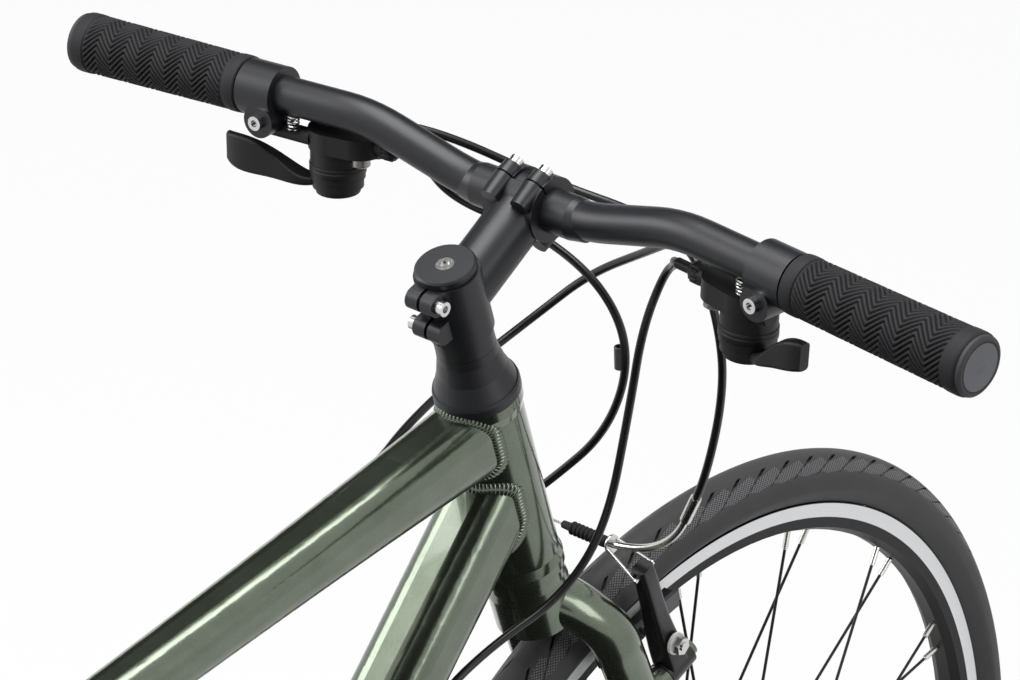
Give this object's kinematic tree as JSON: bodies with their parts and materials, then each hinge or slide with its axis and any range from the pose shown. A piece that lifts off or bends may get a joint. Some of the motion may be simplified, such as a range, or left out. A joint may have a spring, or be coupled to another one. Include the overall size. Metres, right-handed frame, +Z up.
{
  "type": "hybrid bike",
  "caption": "Flat-bar hybrid bike with diamond frame, rim brakes, derailleur gears, rubber grips and spoked wheels; steers, pedals, brakes and shifts.",
  "frame": {"origin": "middle of the wheelbase on the ground, under the bike", "axes": "+X forward, +Y to the rider's left, +Z up"},
  "size_m": [1.774, 0.6432, 0.9837],
  "materials": {
    "frame_paint": "metallic dark green paint",
    "black_alloy": "matte black",
    "steel": "bright steel",
    "black_plastic": "fine grain",
    "grip_rubber": "moulded rubber",
    "cable_sheath": "smooth black sheath",
    "tyre_rubber": "moulded tread",
    "saddle_skin": "soft black cover"
  },
  "bodies": {
    "frame": {"head_tube": "frame_paint", "top_tube": "frame_paint", "down_tube": "frame_paint", "seat_tube": "frame_paint", "bottom_bracket_shell": "frame_paint", "chainstays": "frame_paint", "seatstays": "frame_paint", "rear_dropouts": "frame_paint", "frame_fittings": "frame_paint", "bearing_cups": "steel", "seat_clamp": "black_alloy", "seatpost": "black_alloy", "saddle_base": "black_plastic", "saddle_cover": "saddle_skin", "rear_axle": "steel", "derailleur_bodies": "black_alloy", "chain": "steel", "control_cables": "cable_sheath"},
    "steering": {"fork_steerer": "steel", "fork_crown": "frame_paint", "fork_blades": "frame_paint", "headset_cover": "black_alloy", "stem": "black_alloy", "stem_faceplate": "black_alloy", "top_cap": "black_alloy", "cockpit_bolts": "steel", "handlebar": "black_alloy", "grips": "grip_rubber", "bar_end_plugs": "black_plastic", "brake_brackets": "black_alloy", "shifter_pods": "black_plastic", "front_axle": "steel", "front_brake_cable": "cable_sheath"},
    "brake_lever_left": {"brake_lever_left": "black_alloy"},
    "brake_lever_right": {"brake_lever_right": "black_alloy"},
    "thumb_lever_left": {"thumb_lever_left": "black_plastic"},
    "thumb_lever_right": {"thumb_lever_right": "black_plastic"},
    "release_lever_left": {"release_lever_left": "black_plastic"},
    "release_lever_right": {"release_lever_right": "black_plastic"},
    "front_brake_arm_left": {"front_brake_arm_left": "black_alloy"},
    "front_brake_arm_right": {"front_brake_arm_right": "black_alloy"},
    "rear_brake_arm_left": {"rear_brake_arm_left": "black_alloy"},
    "rear_brake_arm_right": {"rear_brake_arm_right": "black_alloy"},
    "front_wheel": {"front_tyre": "tyre_rubber", "front_rim": "black_alloy", "front_spokes": "steel", "front_hub": "black_alloy"},
    "rear_wheel": {"rear_tyre": "tyre_rubber", "rear_rim": "black_alloy", "rear_spokes": "steel", "rear_hub": "black_alloy"},
    "cassette": {"cassette": "steel"},
    "crank": {"chainrings": "steel", "crank_arms": "black_alloy"},
    "pedal_left": {"pedal_left": "black_plastic"},
    "pedal_right": {"pedal_right": "black_plastic"},
    "front_derailleur_cage": {"front_derailleur_cage": "steel"},
    "rear_derailleur_cage": {"rear_derailleur_cage": "steel"},
    "jockey_upper": {"jockey_upper": "black_plastic"},
    "jockey_lower": {"jockey_lower": "black_plastic"}
  },
  "joints": [
    {"name": "steering", "type": "hinge", "parent": "frame", "child": "steering", "pos_m": [0.29052, 0, 0.93422], "axis": [-0.3173, 0, 0.9483], "range_deg": [-65, 65], "deforming": ["control_cables"]},
    {"name": "front_wheel_spin", "type": "hinge", "parent": "steering", "child": "front_wheel", "pos_m": [0.538, 0, 0.349], "axis": [0, 1, 0], "continuous": true},
    {"name": "rear_wheel_spin", "type": "hinge", "parent": "frame", "child": "rear_wheel", "pos_m": [-0.538, 0, 0.349], "axis": [0, 1, 0], "continuous": true},
    {"name": "crank_spin", "type": "hinge", "parent": "frame", "child": "crank", "pos_m": [-0.10283, 0, 0.284], "axis": [0, 1, 0], "continuous": true, "deforming": ["chain"]},
    {"name": "cassette_spin", "type": "hinge", "parent": "frame", "child": "cassette", "pos_m": [-0.538, 0, 0.349], "axis": [0, 1, 0], "continuous": true},
    {"name": "pedal_left_spin", "type": "hinge", "parent": "crank", "child": "pedal_left", "pos_m": [-0.27283, 0.076, 0.284], "axis": [0, 1, 0], "continuous": true},
    {"name": "pedal_right_spin", "type": "hinge", "parent": "crank", "child": "pedal_right", "pos_m": [0.06717, -0.076, 0.284], "axis": [0, 1, 0], "continuous": true},
    {"name": "brake_lever_left", "type": "hinge", "parent": "steering", "child": "brake_lever_left", "pos_m": [0.37791, 0.16254, 0.95048], "axis": [0.4975, 0.0696, 0.8647], "range_deg": [0, 17], "stiffness_Nm_per_rad": 1.2, "springref_deg": -5.73, "deforming": ["front_brake_cable"]},
    {"name": "brake_lever_right", "type": "hinge", "parent": "steering", "child": "brake_lever_right", "pos_m": [0.37791, -0.16254, 0.95048], "axis": [-0.4975, 0.0696, -0.8647], "range_deg": [0, 17], "stiffness_Nm_per_rad": 1.2, "springref_deg": -5.73, "deforming": ["control_cables"]},
    {"name": "front_brake_left", "type": "hinge", "parent": "steering", "child": "front_brake_arm_left", "pos_m": [0.44835, 0.04015, 0.61946], "axis": [0.9207, 0, 0.3902], "range_deg": [0, 4.3], "deforming": ["front_brake_cable"]},
    {"name": "front_brake_right", "type": "hinge", "parent": "steering", "child": "front_brake_arm_right", "pos_m": [0.44835, -0.04015, 0.61946], "axis": [-0.9207, 0, -0.3902], "range_deg": [0, 4.3], "deforming": ["front_brake_cable"]},
    {"name": "rear_brake_left", "type": "hinge", "parent": "frame", "child": "rear_brake_arm_left", "pos_m": [-0.36905, 0.04, 0.57843], "axis": [0.7547, 0, -0.656], "range_deg": [0, 4.3], "deforming": ["control_cables"]},
    {"name": "rear_brake_right", "type": "hinge", "parent": "frame", "child": "rear_brake_arm_right", "pos_m": [-0.36905, -0.04, 0.57843], "axis": [-0.7547, 0, 0.656], "range_deg": [0, 4.3], "deforming": ["control_cables"]},
    {"name": "thumb_lever_left", "type": "hinge", "parent": "steering", "child": "thumb_lever_left", "pos_m": [0.36036, 0.14184, 0.91795], "axis": [0, -0.023, -0.9997], "range_deg": [0, 25], "stiffness_Nm_per_rad": 0.4, "springref_deg": -8.59},
    {"name": "thumb_lever_right", "type": "hinge", "parent": "steering", "child": "thumb_lever_right", "pos_m": [0.35896, -0.15573, 0.91263], "axis": [0, -0.023, 0.9997], "range_deg": [0, 25], "stiffness_Nm_per_rad": 0.4, "springref_deg": -8.59},
    {"name": "release_lever_left", "type": "hinge", "parent": "steering", "child": "release_lever_left", "pos_m": [0.37888, 0.1279, 0.93427], "axis": [0, 0.023, 0.9997], "range_deg": [0, 12], "stiffness_Nm_per_rad": 0.4, "springref_deg": -8.59},
    {"name": "release_lever_right", "type": "hinge", "parent": "steering", "child": "release_lever_right", "pos_m": [0.37748, -0.14179, 0.92895], "axis": [0, 0.023, -0.9997], "range_deg": [0, 12], "stiffness_Nm_per_rad": 0.4, "springref_deg": -8.59},
    {"name": "front_derailleur", "type": "hinge", "parent": "frame", "child": "front_derailleur_cage", "pos_m": [-0.14955, -0.03, 0.45581], "axis": [1, 0, 0], "range_deg": [-2.5, 2.5]},
    {"name": "rear_derailleur_cage", "type": "hinge", "parent": "frame", "child": "rear_derailleur_cage", "pos_m": [-0.524, 0, 0.26643], "axis": [0, 1, 0], "range_deg": [-8, 25], "stiffness_Nm_per_rad": 0.6, "deforming": ["chain"]},
    {"name": "jockey_upper_spin", "type": "hinge", "parent": "frame", "child": "jockey_upper", "pos_m": [-0.524, 0, 0.26643], "axis": [0, 1, 0], "continuous": true},
    {"name": "jockey_lower_spin", "type": "hinge", "parent": "rear_derailleur_cage", "child": "jockey_lower", "pos_m": [-0.50547, 0, 0.21465], "axis": [0, 1, 0], "continuous": true}
  ],
  "couplings": [
    {"joint": "cassette_spin", "follows": "crank_spin", "ratio": 2.1111},
    {"joint": "jockey_upper_spin", "follows": "crank_spin", "ratio": -3.4545},
    {"joint": "jockey_lower_spin", "follows": "crank_spin", "ratio": 3.4545},
    {"joint": "front_brake_left", "follows": "brake_lever_left", "ratio": 0.2529},
    {"joint": "front_brake_right", "follows": "brake_lever_left", "ratio": 0.2529},
    {"joint": "rear_brake_left", "follows": "brake_lever_right", "ratio": 0.2529},
    {"joint": "rear_brake_right", "follows": "brake_lever_right", "ratio": 0.2529}
  ]
}
